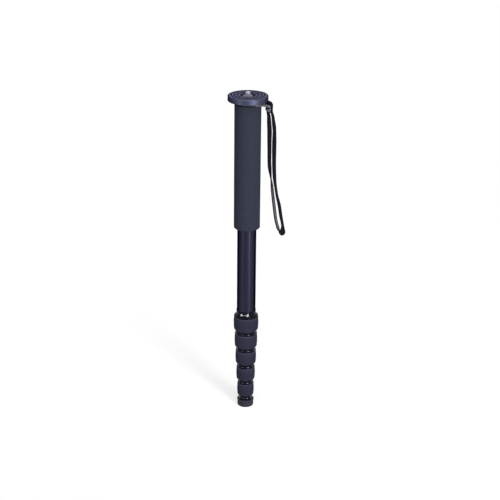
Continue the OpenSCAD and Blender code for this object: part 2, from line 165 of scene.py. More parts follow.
# the hanging loop: x from the knot, y, height from the hitch,
# then the turn of the width about Z, its lift and its size
LEG_POINTS = [
    (-1.2, 1.1, -14.4, 0, 0, 4.6),
    (-0.7, 0.6, -21.4, 0, 0, 5.5),
    (-0.3, 0.2, -28, 0, 0, 5.8),
    (0.1, 0, -34.4, 0, 0, 6.1),
    (0.1, 0, -47.4, 0, 0, 5.6),
    (0.3, 0, -60.4, 0, 0, 5.2),
    (0.4, 0.4, -73.4, 0, 0, 5.0),
    (1.0, 1.4, -83.4, -30, 0, 5.2),
    (2.3, 2.4, -94.4, -72, 0, 5.2),
    (3.4, 2.2, -101.4, -100, 0, 5.2),
    (4.2, 2, -107.9, -122, 0, 5.2),
    (5.7, 2, -121.4, -130, 0, 5.2),
    (7.5, 2, -135.4, -135, 0, 5.2),
    (9.3, 2, -149.4, -130, 0, 5.2),
    (10.5, 2, -156.4, -130, 0, 5.2),
    (12.2, 1.9, -163, -130, 10, 5.2),
    (13.7, 1.5, -167.2, -126, 24, 6.2),
    (15.3, 0.9, -170.2, -110, 56, 8.8),
    (17.1, 0, -171.5, -112, 68, 10.2),
    (18.5, -0.9, -170.0, -142, 52, 9.4),
    (19.0, -1.5, -166.4, -154, 24, 6.4),
    (18.9, -2, -161.2, -142, 0, 4.2),
    (17.9, -2, -154.9, -132, 0, 4.6),
    (16.4, -2, -147.9, -136, 0, 5.2),
    (14.2, -2, -133.9, -136, 0, 5.2),
    (12.6, -2, -126.9, -128, 0, 5.2),
    (11, -2, -120.4, -120, 0, 5.2),
    (8.7, -2, -106.4, -122, 0, 5.2),
    (7.8, -1.8, -99.9, -135, 0, 5.2),
    (7.2, -1.4, -93.4, -150, 0, 5.2),
    (6.6, -0.6, -82.4, -170, 0, 5.2),
    (6.4, 0, -73.4, -180, 0, 5.2),
    (6.3, 0, -60.4, -180, 0, 5.6),
    (6.3, 0, -47.4, -180, 0, 5.6),
    (6.3, 0, -34.4, -180, 0, 4.7),
    (5.7, 0, -27.4, -180, 0, 5.0),
    (4.9, -0.6, -21.4, -180, 0, 4.4),
    (4.0, -1.1, -14.4, -150, 0, 4.0),
]
# the arch over the knot, given like the start
ARCH_POINTS = [
    (30.5, -1.5, -16.2, (-0.5, -0.85, 0), 4.4),
    (29.9, -1.6, -12.6, (-0.4, -0.9, 0), 5.0),
    (30.0, -1.4, -9.0, (-0.45, -0.9, 0), 5.0),
    (29.6, -0.9, -6.4, (-0.5, -0.75, -0.4), 5.0),
    (28.3, 0.5, -4.2, (-0.4, -0.6, -0.7), 5.8),
    (26.2, 2.2, -3.7, (-0.2, -0.4, -0.9), 6.2),
    (23.6, 3.6, -3.5, (0, -0.2, -1), 5.6),
    (20.5, 5.2, -2.9, DOWN, 4.0),
    (17.3, 7.0, -2.3, DOWN, 3.2),
    (14.0, 8.7, -2.0, DOWN, 3.0),
]
# the turn round the neck: radius, depth below the platform, width, and angles in degrees
NECK_RING = 14.9
NECK_DEPTH = -2.0
NECK_W = 3.0
NECK_ANGLES = range(57, 290, 19)
# the end that wraps the leg, its width hanging down: x, y, depth below the platform, width
WRAP_POINTS = [
    (8.6, -14.2, -2.2, 3.0),
    (11.9, -13.3, -2.9, 3.0),
    (15.2, -10.2, -3.6, 3.0),
    (18.4, -7.0, -4.2, 3.2),
    (21.2, -5.0, -4.8, 3.8),
    (24.2, -3.8, -5.8, 4.4),
    (26.8, -3.0, -7.0, 4.6),
    (28.6, -1.2, -8.4, 4.4),
    (28.6, 1.6, -9.4, 4.2),
    (26.4, 3.2, -9.8, 4.0),
    (24.0, 2.4, -10.2, 4.0),
    (22.9, 0.4, -10.8, 4.0),
    (24.1, -1.9, -11.2, 3.8),
    (26.5, -2.6, -12.3, 3.6),
    (28.4, -1.4, -13.7, 3.6),
    (28.7, 0.6, -14.6, 3.4),
]


def leg_row(x, y, z, turn, lift, width):
    turn, lift = math.radians(turn), math.radians(lift)
    flat = math.cos(lift)
    width_way = Vector((math.cos(turn) * flat, math.sin(turn) * flat, math.sin(lift)))
    return Vector((KNOT_X + x, y, disc_low - HITCH_DROP + z)), width_way, width


def platform_row(x, y, depth, width_way, width):
    return Vector((x, y, disc_low + depth)), Vector(width_way), width


def neck_row(angle):
    a = math.radians(angle)
    return platform_row(NECK_RING * math.cos(a), NECK_RING * math.sin(a), NECK_DEPTH, DOWN, NECK_W)


def strap_route():
    """Rows of place, width direction and width along the whole cord, in metres."""
    rows = [platform_row(*point) for point in START_POINTS]
    rows += [leg_row(*point) for point in LEG_POINTS]
    rows += [platform_row(*point) for point in ARCH_POINTS]
    rows += [neck_row(angle) for angle in NECK_ANGLES]
    rows += [platform_row(x, y, depth, DOWN, width) for x, y, depth, width in WRAP_POINTS]
    return [(place * MM, way, width * MM) for place, way, width in rows]


def smooth_rows(rows, steps):
    """More rows between the given ones, on a curve that passes through every place."""
    out = []
    end = len(rows) - 1
    for i in range(end):
        before, here, after, last = (rows[min(max(j, 0), end)] for j in range(i - 1, i + 3))
        for s in range(steps):
            t = s / steps
            place = 0.5 * (
                2 * here[0]
                + t * (after[0] - before[0])
                + t * t * (2 * before[0] - 5 * here[0] + 4 * after[0] - last[0])
                + t * t * t * (3 * here[0] - before[0] - 3 * after[0] + last[0])
            )
            out.append((place, here[1].lerp(after[1], t), here[2] + t * (after[2] - here[2])))
    return out + [rows[-1]]


strap_rows = smooth_rows(strap_route(), steps=4)

# %% The ribbon
SECTION_CORNERS = 16
END_POWER, FACE_POWER = 0.7, 0.55


def ring_frame(rows, i):
    """Puts a flat ring at row i: X along the width, Y through the cord, Z along the run."""
    place, width_way, width = rows[i]
    run = (rows[min(i + 1, len(rows) - 1)][0] - rows[max(i - 1, 0)][0]).normalized()
    width_way = (width_way - width_way.dot(run) * run).normalized()
    outwards = run.cross(width_way)
    turn = Matrix((width_way, outwards, run)).transposed().to_4x4()
    return Matrix.Translation(place) @ turn @ Matrix.Diagonal((width, STRAP_T * MM, 1, 1))


def flat_section(bm):
    """One rounded flat face, 1 by 1: its ends are round and its two faces nearly flat."""
    made = bmesh.ops.create_circle(bm, cap_ends=True, segments=SECTION_CORNERS, radius=0.5)
    for v in made["verts"]:
        angle = math.atan2(v.co.y, v.co.x)
        v.co.x = 0.5 * math.copysign(abs(math.cos(angle)) ** END_POWER, math.cos(angle))
        v.co.y = 0.5 * math.copysign(abs(math.sin(angle)) ** FACE_POWER, math.sin(angle))
    return made["verts"]


def make_ribbon(rows, name):
    """Extrude the flat face from row to row; each point remembers its place on the cord."""
    bm = bmesh.new()
    along = bm.verts.layers.float.new("along")
    across = bm.verts.layers.float.new("across")
    through = bm.verts.layers.float.new("through")
    ring = flat_section(bm)
    for v in ring:
        v[across], v[through] = 2 * v.co.x, 2 * v.co.y
    face = bm.faces[:][0]
    bmesh.ops.transform(bm, matrix=ring_frame(rows, 0), verts=ring)
    gone = 0
    for i in range(1, len(rows)):
        cap = bmesh.ops.extrude_face_region(bm, geom=[face])
        ring = [g for g in cap["geom"] if isinstance(g, bmesh.types.BMVert)]
        new_face = [g for g in cap["geom"] if isinstance(g, bmesh.types.BMFace)][0]
        if i > 1:
            bmesh.ops.delete(bm, geom=[face], context="FACES_ONLY")
        face = new_face
        step = ring_frame(rows, i) @ ring_frame(rows, i - 1).inverted()
        bmesh.ops.transform(bm, matrix=step, verts=ring)
        gone += (rows[i][0] - rows[i - 1][0]).length
        for v in ring:
            v[along] = gone
    return make_piece(bm, name, smooth_angle=60)


wrist_strap = make_ribbon(strap_rows, "woven_strap")
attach(wrist_strap, "strap")
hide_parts("wrist_strap", "strap_hitch", "strap_knot")

# %% [markdown]
# ## The foam grip
# The grip is a tube of closed-cell foam, pulled over the first tube. It could be a cylinder with
# bevelled ends, but a profile, drawn as a chain of edges and spun round the axis, gives the bore and
# the soft ends at once, as for any turned shape. Foam is never quite straight, so the skin is then
# moved in and out by a few hundredths of a millimetre.

# %% Helper: spin a profile
def spin_profile(points, steps=96, rise=0):
    """A turned shape from a chain of (radius, height) points in millimetres; it may climb by rise."""
    bm = bmesh.new()
    chain = [bm.verts.new((r * MM, 0, z * MM)) for r, z in points]
    edges = [bm.edges.new(pair) for pair in zip(chain, chain[1:])]
    bmesh.ops.spin(
        bm,
        geom=chain + edges,
        cent=(0, 0, 0),
        axis=(0, 0, 1),
        dvec=(0, 0, rise * MM / steps),
        angle=math.tau,
        steps=steps,
        use_merge=rise == 0,
    )
    return bm


def corner(centre, radius, start, end, steps=5):
    """Points of a rounded corner in a profile."""
    turns = [math.radians(start + (end - start) * i / steps) for i in range(steps + 1)]
    return [(centre[0] + radius * math.cos(a), centre[1] + radius * math.sin(a)) for a in turns]


# %% The grip
GRIP_ROUND = 1.5
GRIP_RINGS = 60
GRIP_GAP = 0.05
GRIP_UNEVEN = 0.06
LONG_WAVE, SHORT_WAVE = 71, 163  # radians per metre of height

grip_low, grip_high = (corner_at / MM for corner_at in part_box("foam_grip"))
tube_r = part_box("tube_1")[1].x / MM
grip_in = tube_r + GRIP_GAP
grip_out = grip_high.x
low_centre = (grip_out - GRIP_ROUND, grip_low.z + GRIP_ROUND)
high_centre = (grip_out - GRIP_ROUND, grip_high.z - GRIP_ROUND)
straight = high_centre[1] - low_centre[1]
side = [(grip_out, low_centre[1] + straight * i / GRIP_RINGS) for i in range(1, GRIP_RINGS)]
grip_profile = [(grip_in, grip_low.z)] + corner(low_centre, GRIP_ROUND, -90, 0) + side
grip_profile += corner(high_centre, GRIP_ROUND, 0, 90)
grip_profile += [(grip_in, grip_high.z), (grip_in, grip_low.z)]
grip_bm = spin_profile(grip_profile)
for v in grip_bm.verts:
    radius = v.co.xy.length / MM
    if radius > (grip_in + grip_out) / 2:
        angle = math.atan2(v.co.y, v.co.x)
        wave = math.sin(v.co.z * LONG_WAVE + 2 * angle) + math.sin(v.co.z * SHORT_WAVE - 3 * angle)
        v.co.xy *= 1 - GRIP_UNEVEN * (1 + wave / 2) / 2 / radius
grip = make_piece(grip_bm, "foam_sleeve")
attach(grip, "section_1")
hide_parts("foam_grip")

# %% [markdown]
# ## The ribs of the lock sleeves
# Each twist lock has a rubber sleeve with shallow moulded ribs. A bump in the finish could fake them,
# but would not show on the outline. The CAD sleeve already has the main form, so a ray from the side
# asks it how wide it is at a height. A chain of points follows that form, just under the skin between
# the ribs and just above it on each rib, and is spun.

# %% Ribs on each sleeve
LOCKS = range(1, 6)
RIB_PITCH = 2.1
RIB_PROUD = 0.12
RIB_SUNK = 0.06
RIB_WALL = 0.8
RIB_STEPS = 80
PLAIN_TOP = 5.2
PLAIN_FOOT = 3.4
POINTS_PER_RIB = 10
RAY_FROM = 0.1  # metres from the axis


def sleeve_ribs(node_name):
    tree = BVHTree.FromObject(frame["nodes"][node_name], bpy.context.evaluated_depsgraph_get())
    low, high = (corner_at.z / MM for corner_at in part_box(node_name))
    first = math.ceil((low + PLAIN_FOOT) / RIB_PITCH)
    last = math.floor((high - PLAIN_TOP) / RIB_PITCH)
    skin = []
    for i in range((last - first) * POINTS_PER_RIB + 1):
        z = (first + i / POINTS_PER_RIB) * RIB_PITCH
        radius = tree.ray_cast(Vector((RAY_FROM, 0, z * MM)), Vector((-1, 0, 0)))[0].x / MM
        crest = max(0, -math.sin(math.tau * z / RIB_PITCH))
        skin.append((radius - RIB_SUNK + (RIB_SUNK + RIB_PROUD) * crest, z))
    inner = min(r for r, _ in skin) - RIB_WALL
    back = [(inner, skin[-1][1]), (inner, skin[0][1]), skin[0]]
    return spin_profile(skin + back, RIB_STEPS)


rib_pieces = {}
for k in LOCKS:
    rib_pieces[k] = make_piece(sleeve_ribs(f"lock_sleeve_{k}"), f"sleeve_ribs_{k}")
    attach(rib_pieces[k], f"lock_{k}")

# %% [markdown]
# ## The camera screw
# A quarter-inch camera screw has twenty threads to the inch. A Screw modifier could wind the thread,
# but a spin leaves a mesh that can be cut at once, and it can climb as it turns: a zigzag profile,
# spun once round while it rises by exactly one pitch, meets itself again as a true helix. The tip is
# then chamfered, the ends are cut flat, and a flange is turned for the foot.

# %% The threaded screw
PITCH = 1.27
SCREW_R = 3.175
THREAD_DEPTH = 0.72
THREAD_STEPS = 48
THREAD_PROFILE = ((0, 0), (0.12, 0), (0.45, 1), (0.67, 1))  # shares of the pitch and of the depth
TURNS_BELOW, TURNS_ABOVE = 2, 1
TIP_CHAMFER = 0.8
TIP_LEAST = 0.5
ROD_SUNK = 0.3
FLANGE_H = 0.8

flange_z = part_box("platform_pad")[0].z / MM
flange_top = flange_z + FLANGE_H
screw_top = (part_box("camera_screw")[1] / MM).z


def threaded_rod(radius, z_low, z_high):
    points = []
    for i in range(math.ceil((z_high - z_low) / PITCH) + TURNS_BELOW + TURNS_ABOVE):
        z = z_low - TURNS_BELOW * PITCH + i * PITCH
        for share, depth in THREAD_PROFILE:
            points.append((radius - depth * THREAD_DEPTH, z + share * PITCH))
    bm = spin_profile(points, THREAD_STEPS, rise=PITCH)
    bmesh.ops.remove_doubles(bm, verts=bm.verts, dist=MERGE)
    for v in bm.verts:
        limit = radius - max(0, v.co.z / MM - (z_high - TIP_CHAMFER))
        v.co.xy *= min(1, max(limit, TIP_LEAST) * MM / v.co.xy.length)
    for z, way in ((z_high, 1), (z_low, -1)):
        cut = bmesh.ops.bisect_plane(
            bm,
            geom=bm.verts[:] + bm.edges[:] + bm.faces[:],
            plane_co=(0, 0, z * MM),
            plane_no=(0, 0, way),
            clear_outer=True,
        )
        rim = [g for g in cut["geom_cut"] if isinstance(g, bmesh.types.BMEdge)]
        bmesh.ops.holes_fill(bm, edges=rim)
    return bm


screw_bm = threaded_rod(SCREW_R, flange_top - ROD_SUNK, screw_top)
screw = make_piece(screw_bm, "threaded_screw", smooth_angle=25)

# %% The flange
FLANGE_R = 6.35
FLANGE_LIFT = 0.02
FLANGE_BEVEL = 0.1
FLANGE_ROUND = 0.3
FLANGE_STEPS = 64
GROOVE_W, GROOVE_DEEP = 0.6, 0.2

flange_foot = flange_z + FLANGE_LIFT
groove_z = flange_top - GROOVE_DEEP
flange_profile = [(0, flange_foot), (FLANGE_R - FLANGE_BEVEL, flange_foot)]
flange_profile += [(FLANGE_R, flange_foot + FLANGE_BEVEL)]
flange_profile += corner((FLANGE_R - FLANGE_ROUND, flange_top - FLANGE_ROUND), FLANGE_ROUND, 0, 90)
flange_profile += [(SCREW_R + GROOVE_W, flange_top), (SCREW_R, groove_z), (0, groove_z)]
flange = make_piece(spin_profile(flange_profile, FLANGE_STEPS), "screw_flange")
for piece in (screw, flange):
    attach(piece, "section_1")
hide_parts("camera_screw")

# %% [markdown]
# ## The lock signs
# The first lock carries printed signs: a closed padlock, an arrow both ways and an open padlock. A
# Shrinkwrap modifier could lay them on the collar, but would squeeze them towards the sides. So they
# are drawn flat, given the thickness of paint, and then rolled onto the ring that carries them.

# %% Flat signs
CLOSED_X, OPEN_X = -4.35, 4.05
BODY_Y, BODY_SIZE = -0.6, (2.9, 2.0)
SHACKLE_Y, SHACKLE_R = 0.75, 0.8
SHACKLE_THICK, SHACKLE_LEG = 0.55, 0.45
OPEN_LIFT, OPEN_SWING = 0.35, 0.9
SHAFT_PLACE, SHAFT_SIZE = (-0.15, -0.35), (2.6, 0.26)
HEAD_TIPS = ((1.8, 1), (-2.1, -1))
HEAD_SIZE, HEAD_SPREAD = 0.9, 0.75


def flat_bar(bm, centre, size):
    """A thin painted bar, cut in short lengths so that it can bend round the collar."""
    made = bmesh.ops.create_grid(bm, x_segments=6, y_segments=3, size=0.5)
    place = Matrix.Translation((*centre, 0)) @ Matrix.Diagonal((*size, 1, 1))
    bmesh.ops.transform(bm, matrix=place, verts=made["verts"])


def flat_arch(bm, centre, radius, thick, leg):
    """A padlock's shackle: a half ring on two short legs."""
    inner = bm.verts.new((centre[0] + radius - thick / 2, centre[1], 0))
    outer = bm.verts.new((centre[0] + radius + thick / 2, centre[1], 0))
    geom = [inner, outer, bm.edges.new((inner, outer))]
    bmesh.ops.spin(bm, geom=geom, cent=(*centre, 0), axis=(0, 0, 1), angle=math.pi, steps=12)
    for side_x in (-radius, radius):
        flat_bar(bm, (centre[0] + side_x, centre[1] - leg / 2), (thick, leg))


def flat_head(bm, tip, way):
    """An arrow head, pointing left or right."""
    back, spread = tip - way * HEAD_SIZE, HEAD_SIZE * HEAD_SPREAD
    bm.faces.new([bm.verts.new((x, y, 0)) for x, y in ((tip, 0), (back, spread), (back, -spread))])


def lock_signs():
    bm = bmesh.new()
    for x, lift in ((CLOSED_X, 0), (OPEN_X, OPEN_LIFT)):
        flat_bar(bm, (x, BODY_Y), BODY_SIZE)
        top = (x + lift * OPEN_SWING, SHACKLE_Y + lift)
        flat_arch(bm, top, SHACKLE_R, SHACKLE_THICK, SHACKLE_LEG)
    flat_bar(bm, SHAFT_PLACE, SHAFT_SIZE)
    for tip, way in HEAD_TIPS:
        flat_head(bm, tip, way)
    return bm


# %% Roll the signs onto the collar
PAINT = 0.08
PAINT_SUNK = 0.03
COLLAR_WALL = 0.6
SIGN_DROP = 3.8
SIGN_ANGLE = math.radians(-90 - 8.4)

collar_r = tube_r + COLLAR_WALL
sign_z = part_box("lock_ferrule_1")[1].z / MM - SIGN_DROP


def roll_on_collar(bm):
    """Across becomes an angle round the collar, up stays up, and thickness stands outwards."""
    for v in bm.verts:
        angle = SIGN_ANGLE + v.co.x / collar_r
        r = collar_r - PAINT_SUNK + v.co.z
        v.co = Vector((r * math.cos(angle), r * math.sin(angle), sign_z + v.co.y)) * MM


sign_bm = lock_signs()
bmesh.ops.recalc_face_normals(sign_bm, faces=sign_bm.faces)
lifted = bmesh.ops.extrude_face_region(sign_bm, geom=sign_bm.faces[:])
lifted_verts = [g for g in lifted["geom"] if isinstance(g, bmesh.types.BMVert)]
bmesh.ops.translate(sign_bm, vec=(0, 0, PAINT), verts=lifted_verts)
roll_on_collar(sign_bm)
signs = make_piece(sign_bm, "lock_signs")
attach(signs, "section_1")

# %% [markdown]
# ## Finishes
# Each finish is a Principled shader whose colour, roughness and bump come from small procedural
# patterns in Object coordinates, so they stay on the piece when it slides or turns. Painted images
# could do this too, but a pattern needs no file and shows no seam. Colours are written as they look
# in the picture, from 0 to 255, and are turned into linear values.

# %% Helpers: colours and nodes
def paint(red, green, blue):
    """A colour as it looks on screen, as the linear RGBA that shaders take."""
    linear = [
        c / 255 / 12.92 if c <= 10 else ((c / 255 + 0.055) / 1.055) ** 2.4 for c in (red, green, blue)
    ]
    return (*linear, 1)


def add_node(tree, kind, inputs=None, **settings):
    """A new node; an input that is a socket is linked, and any other is set."""
    made = tree.nodes.new(kind)
    for name, value in settings.items():
        setattr(made, name, value)
    for name, value in (inputs or {}).items():
        if isinstance(value, bpy.types.NodeSocket):
            tree.links.new(value, made.inputs[name])
        else:
            made.inputs[name].default_value = value
    return made


class Finish:
    """A material with one Principled shader, and short calls for the patterns that feed it."""

    def __init__(self, name, **constants):
        self.material = bpy.data.materials.new(name)
        self.material.use_nodes = True
        self.tree = self.material.node_tree
        self.shader = self.tree.nodes["Principled BSDF"]
        for socket, value in constants.items():
            label = socket.replace("_", " ").title().replace("Ior", "IOR")
            self.shader.inputs[label].default_value = value
        self.place = add_node(self.tree, "ShaderNodeTexCoord").outputs["Object"]
        print("finish", name)

    def noise(self, scale, detail=3.0, stretch=(1, 1, 1)):
        place = add_node(self.tree, "ShaderNodeMapping", {"Vector": self.place, "Scale": stretch})
        inputs = {"Vector": place.outputs["Vector"], "Scale": scale, "Detail": detail}
        return add_node(self.tree, "ShaderNodeTexNoise", inputs).outputs["Fac"]

    def cells(self, scale):
        inputs = {"Vector": self.place, "Scale": scale}
        return add_node(self.tree, "ShaderNodeTexVoronoi", inputs).outputs["Distance"]

    def ramp(self, factor, low, high, to_low=0.0, to_high=1.0):
        inputs = {"Value": factor, "From Min": low, "From Max": high}
        inputs |= {"To Min": to_low, "To Max": to_high}
        return add_node(self.tree, "ShaderNodeMapRange", inputs).outputs["Result"]

    def mix(self, factor, dark, light):
        mixer = add_node(self.tree, "ShaderNodeMix", data_type="RGBA")
        for socket, value in (("Factor", factor), ("A", dark), ("B", light)):
            target = [s for s in mixer.inputs if s.name == socket and s.enabled][0]
            if isinstance(value, bpy.types.NodeSocket):
                self.tree.links.new(value, target)
            else:
                target.default_value = value
        return [s for s in mixer.outputs if s.enabled][0]

    def math(self, operation, a, b=0.0):
        made = add_node(self.tree, "ShaderNodeMath", {0: a, 1: b}, operation=operation)
        return made.outputs["Value"]

    def attribute(self, name):
        return add_node(self.tree, "ShaderNodeAttribute", attribute_name=name).outputs["Fac"]

    def place_along(self, axis):
        return add_node(self.tree, "ShaderNodeSeparateXYZ", {"Vector": self.place}).outputs[axis]

    def fade(self, level, start, end):
        """0 at start and 1 at end, both in millimetres above a level."""
        return self.ramp(self.place_along("Z"), level + start * MM, level + end * MM)

    def rings(self, pitch):
        """A wave up the piece, from -1 to 1, once in each pitch."""
        turns = self.math("MULTIPLY", self.place_along("Z"), math.tau / pitch)
        return self.math("SINE", turns)

    def feed(self, color=None, roughness=None, bump=None, strength=0.3, depth=0.1):
        if color is not None:
            self.tree.links.new(color, self.shader.inputs["Base Color"])
        if roughness is not None:
            self.tree.links.new(roughness, self.shader.inputs["Roughness"])
        if bump is not None:
            inputs = {"Height": bump, "Strength": strength, "Distance": depth * MM}
            made = add_node(self.tree, "ShaderNodeBump", inputs)
            self.tree.links.new(made.outputs["Normal"], self.shader.inputs["Normal"])
        return self.material


# %% [markdown]
# ### Foam and rubber
# Foam scatters light in its pores and has almost no gloss. Rubber is matte as well. One flat grey
# would be quicker to set, but would look like paper. Here noise mottles the colour, and cells dent
# the foam. Painted highlights along the sleeves' top edges, on the foot's ridge and on the pad's rib
# tops, and painted shade in the sleeves' rib valleys, follow the height on each piece.

# %% Foam and rubber
# where a change begins and is complete, in millimetres from the top of the piece
SLEEVE_RIBBED = (-4, -9)
SLEEVE_EDGE_HIGHLIGHT = (-2.0, -0.7)
PAD_WORN_AND_HIGHLIT = (-0.15, -0.03)
PAD_GREYER_FLOOR = (-0.5, -0.75)
# strength of the painted shade in the sleeves' rib valleys
VALLEY_SHADE = 0.35
# pitch of the painted highlight rings on the foot
FOOT_HIGHLIGHT_PITCH = 0.36  # share of the foot's height


def foam_finish():
    f = Finish("grip_foam", roughness=0.95, specular_ior_level=0.12)
    skin = f.noise(700, detail=4)
    pores = f.cells(1300)
    color = f.mix(skin, paint(45, 47, 60), paint(61, 64, 80))
    return f.feed(color, bump=f.math("ADD", skin, pores), strength=0.35, depth=0.25)


def rubber_finish(node):
    """Matte rubber: painted shade in its rib valleys, a painted highlight on its top edge."""
    f = Finish("rubber_" + node, specular_ior_level=0.03)
    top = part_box(node)[1].z
    grain = f.noise(1100, detail=3)
    dust_and_highlight_noise = f.noise(60, detail=5)
    # painted shade: the rib valleys are darkened, fading in from 4 to 9 mm below the top
    painted_valley_shade = f.math("MULTIPLY", f.ramp(f.rings(RIB_PITCH * MM), -1, 1), f.fade(top, *SLEEVE_RIBBED))
    color = f.mix(dust_and_highlight_noise, paint(46, 48, 63), paint(60, 62, 80))
    color = f.mix(f.math("MULTIPLY", painted_valley_shade, VALLEY_SHADE), color, paint(38, 39, 50))
    # painted highlight: the top edge is painted pale, broken up by noise
    painted_highlight = f.math("MULTIPLY", f.fade(top, *SLEEVE_EDGE_HIGHLIGHT), f.ramp(dust_and_highlight_noise, 0.25, 0.75, 0.3, 1))
    color = f.mix(painted_highlight, color, paint(77, 78, 97))
    return f.feed(color, f.ramp(grain, 0, 1, 0.62, 0.82), grain, strength=0.25, depth=0.06)


def foot_finish():
    """The foot's rubber has painted highlight rings on its ridge and between its grooves."""
    f = Finish("rubber_foot", specular_ior_level=0.2)
    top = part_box("rubber_foot")[1].z
    grain = f.noise(1100, detail=3)
    scuff_and_highlight_noise = f.noise(90, detail=5)
    # painted highlight: pale rings on the ridge and between the grooves, broken up by noise
    ring = f.ramp(f.rings(top * FOOT_HIGHLIGHT_PITCH), 0.1, 0.9)
    color = f.mix(scuff_and_highlight_noise, paint(38, 38, 49), paint(52, 52, 64))
    painted_highlight = f.math("MULTIPLY", ring, f.ramp(scuff_and_highlight_noise, 0.2, 0.8, 0.5, 1))
    color = f.mix(painted_highlight, color, paint(76, 75, 92))
    return f.feed(color, f.ramp(grain, 0, 1, 0.6, 0.8), grain, strength=0.25, depth=0.12)


def pad_finish():
    """Black rubber: rib tops smooth with a painted highlight, flanks black, floors greyer."""
    f = Finish("pad_rubber", specular_ior_level=0.06)
    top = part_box("platform_pad")[1].z
    # the rib tops are smoother, and carry the painted highlight below
    smooth_and_highlit_tops = f.fade(top, *PAD_WORN_AND_HIGHLIT)
    painted_top_highlight = f.math("MULTIPLY", smooth_and_highlit_tops, f.ramp(f.noise(160, detail=4), 0.3, 0.7, 0.8, 1))
    # black near the rib tops, greyer on the floors between the ribs
    color = f.mix(f.fade(top, *PAD_GREYER_FLOOR), paint(10, 11, 20), paint(82, 84, 118))
    # painted highlight: the rib tops are painted pale, in patches
    color = f.mix(painted_top_highlight, color, paint(130, 133, 170))
    return f.feed(color, f.ramp(smooth_and_highlit_tops, 0, 1, 0.85, 0.4), f.noise(1500), strength=0.15, depth=0.08)


materials = {
    "grip_foam": foam_finish(),
    "lock_rubber": foot_finish(),
    "pad_rubber": pad_finish(),
}

# %% [markdown]
# ### Metals
# Black anodised aluminium keeps the fine lines of the die it was drawn through, or of the lathe. To
# cut them as grooves would take millions of faces. So a noise that is stretched along the tube, or
# squeezed along the rim, gives those lines to roughness and bump. The metal takes its dark colour
# from the dye, so the base colour is dark and metallic.

# %% Metals
# where a change begins and is complete, in millimetres from the disc's underside and from its top
DISC_SHADED = (0.5, 0.1)
DISC_TOP_HIGHLIGHT = (-0.8, -0.3)


def ground_round(f, amount):
    """Grinding marks run round the metal, so highlights stretch along the axis."""
    round_z = add_node(f.tree, "ShaderNodeTangent", direction_type="RADIAL", axis="Z")
    f.tree.links.new(round_z.outputs["Tangent"], f.shader.inputs["Tangent"])
    f.shader.inputs["Anisotropic"].default_value = amount
    f.shader.inputs["Anisotropic Rotation"].default_value = 0.25


def drawn_tube_finish():
    f = Finish("anodised_tube", metallic=1.0, specular_tint=paint(40, 40, 48))
    ground_round(f, 0.75)
    lines = f.noise(1, detail=4, stretch=(1600, 1600, 14))
    color = f.mix(lines, paint(37, 37, 51), paint(51, 51, 68))
    return f.feed(color, f.ramp(lines, 0.2, 0.8, 0.24, 0.36), lines, strength=0.08, depth=0.05)


def turned_disc_finish():
    f = Finish("anodised_satin", metallic=1.0, specular_tint=paint(90, 90, 100))
    ground_round(f, 0.5)
    low, high = (corner_at.z for corner_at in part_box("platform_disc"))
    lines = f.noise(1, detail=4, stretch=(60, 60, 5200))
    color = f.mix(lines, paint(62, 64, 82), paint(79, 82, 104))
    # painted shade darkens the rim's lower edge, over its reflection of the white floor
    color = f.mix(f.fade(low, *DISC_SHADED), color, paint(42, 42, 58))
    # painted highlight: the rim's top edge is painted paler, broken up by the lines
    painted_highlight = f.math("MULTIPLY", f.fade(high, *DISC_TOP_HIGHLIGHT), f.ramp(lines, 0.3, 0.7, 0.7, 1))
    color = f.mix(painted_highlight, color, paint(101, 103, 129))
    return f.feed(color, f.ramp(lines, 0.2, 0.8, 0.45, 0.55), lines, strength=0.12, depth=0.05)


def steel_finish(name, dark, light):
    f = Finish(name, metallic=1.0)
    lines = f.noise(1, detail=3, stretch=(300, 300, 4200))
    color = f.mix(lines, paint(*dark), paint(*light))
    return f.feed(color, f.ramp(lines, 0.2, 0.8, 0.42, 0.56), lines, strength=0.1, depth=0.05)


materials["anodised_tube"] = drawn_tube_finish()
materials["anodised_satin"] = turned_disc_finish()
materials["screw_steel"] = steel_finish("screw_steel", (164, 164, 174), (190, 190, 200))
# painted shade: the flange takes a darker copy of the screw's steel, which dims its reflection
shaded_flange_steel = steel_finish("shaded_flange_steel", (98, 98, 108), (126, 126, 138))

# %% [markdown]
# ### Plastics and paint
# The rings of the locks are black moulded plastic, smoother than the rubber, so the lamps draw thin
# lines on them. The linings inside are pale plastic. A shader for each would do, but they differ only
# in colour, roughness and shine, so one function makes them all. The signs are printed in white.

# %% Plastics and paint
GRAIN_ROUGH = 0.14


def plastic_finish(name, dark, light, rough, shine):
    f = Finish(name, specular_ior_level=shine)
    grain = f.noise(900, detail=2)
    color = f.mix(f.noise(90, detail=4), paint(*dark), paint(*light))
    roughness = f.ramp(grain, 0, 1, rough, rough + GRAIN_ROUGH)
    return f.feed(color, roughness, grain, strength=0.06, depth=0.05)


def sign_finish():
    f = Finish("sign_paint", specular_ior_level=0.3, roughness=0.55)
    color = f.mix(f.noise(1800, detail=3), paint(214, 215, 220), paint(240, 240, 243))
    return f.feed(color, bump=f.noise(2400), strength=0.1, depth=0.03)


for name, *look in (
    ("lock_plastic", (14, 15, 31), (21, 22, 43), 0.14, 0.22),
    ("collar_plastic", (12, 12, 24), (20, 20, 36), 0.09, 0.06),
    ("liner_plastic", (188, 188, 182), (208, 208, 202), 0.35, 0.4),
):
    materials[name] = plastic_finish(name, *look)
signs.data.materials.append(sign_finish())

# %% [markdown]
# ### The weave
# The cord is woven black on its outer face and grey on its inner one. In Object coordinates a weave
# would run straight through every twist. So the ribbon carries three attributes: how far along the
# cord a point lies, how far across, and how deep through it. The weave is a pair of slanted ribs that
# meet in the middle, and it follows the cord.

